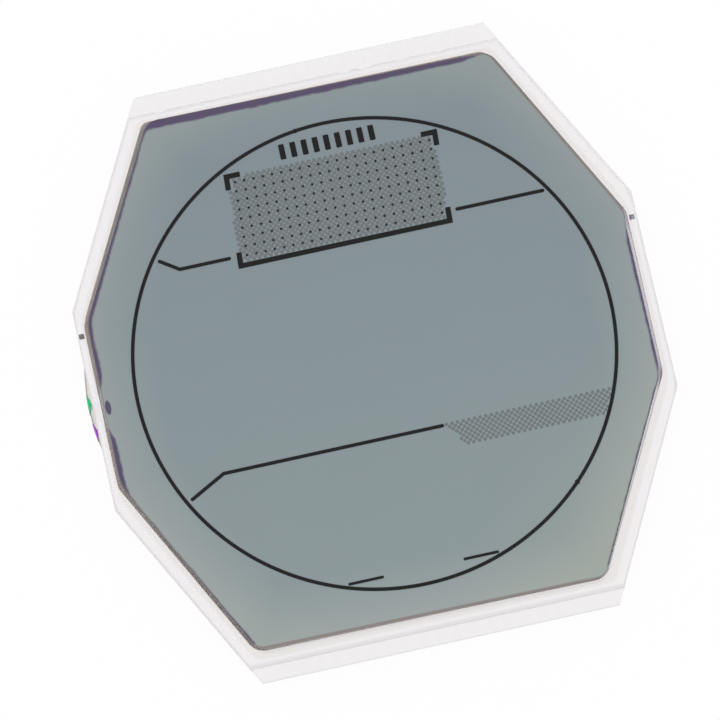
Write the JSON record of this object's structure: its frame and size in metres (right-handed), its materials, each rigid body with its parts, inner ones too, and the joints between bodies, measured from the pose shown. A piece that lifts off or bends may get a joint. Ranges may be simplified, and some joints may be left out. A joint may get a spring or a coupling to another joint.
{
  "type": "watch lcd screen",
  "caption": "Flat eight-sided reflective LCD cell for a round digital watch, with contact ledges at both ends and printed graphics on its front film.",
  "frame": {"origin": "centre of the glass outline on the reflector's back face", "axes": "+Z out of the viewing face, +Y towards twelve o'clock, +X towards three o'clock"},
  "size_m": [0.0302, 0.032, 0.0015],
  "materials": {
    "clear_glass": "polished",
    "seal_epoxy": "satin",
    "clear_resin": "gloss",
    "front_film": "gloss",
    "rear_film": "gloss",
    "reflector_foil": "satin",
    "crystal_fluid": "clear",
    "clear_electrode": "clear",
    "black_ink": "matt",
    "grey_ink": "matt",
    "mark_film": "matt",
    "green_ink": "matt",
    "purple_ink": "matt"
  },
  "bodies": {
    "root": {"band_tint": "grey_ink", "colon_segments": "clear_electrode", "common_electrode": "clear_electrode", "date_segments": "clear_electrode", "end_seal": "clear_resin", "front_glass": "clear_glass", "front_polariser": "front_film", "graph_pixels": "clear_electrode", "green_ink_spot": "green_ink", "hour_segments": "clear_electrode", "left_alignment_mark": "mark_film", "left_tick": "black_ink", "level_bars": "black_ink", "liquid_crystal": "crystal_fluid", "lower_contact_pads": "clear_electrode", "lower_rule": "black_ink", "minute_segments": "clear_electrode", "perimeter_seal": "seal_epoxy", "port_pillar": "seal_epoxy", "printed_ring": "black_ink", "purple_ink_spot": "purple_ink", "rear_glass": "clear_glass", "rear_polariser": "rear_film", "reflector": "reflector_foil", "right_alignment_mark": "mark_film", "right_tick": "black_ink", "second_segments": "clear_electrode", "upper_contact_pads": "clear_electrode", "upper_left_rule": "black_ink", "upper_right_rule": "black_ink", "upper_row_segments": "clear_electrode", "window_bar": "black_ink", "window_dots": "black_ink", "window_left_corner": "black_ink", "window_right_corner": "black_ink", "window_tint": "grey_ink"}
  },
  "joints": []
}
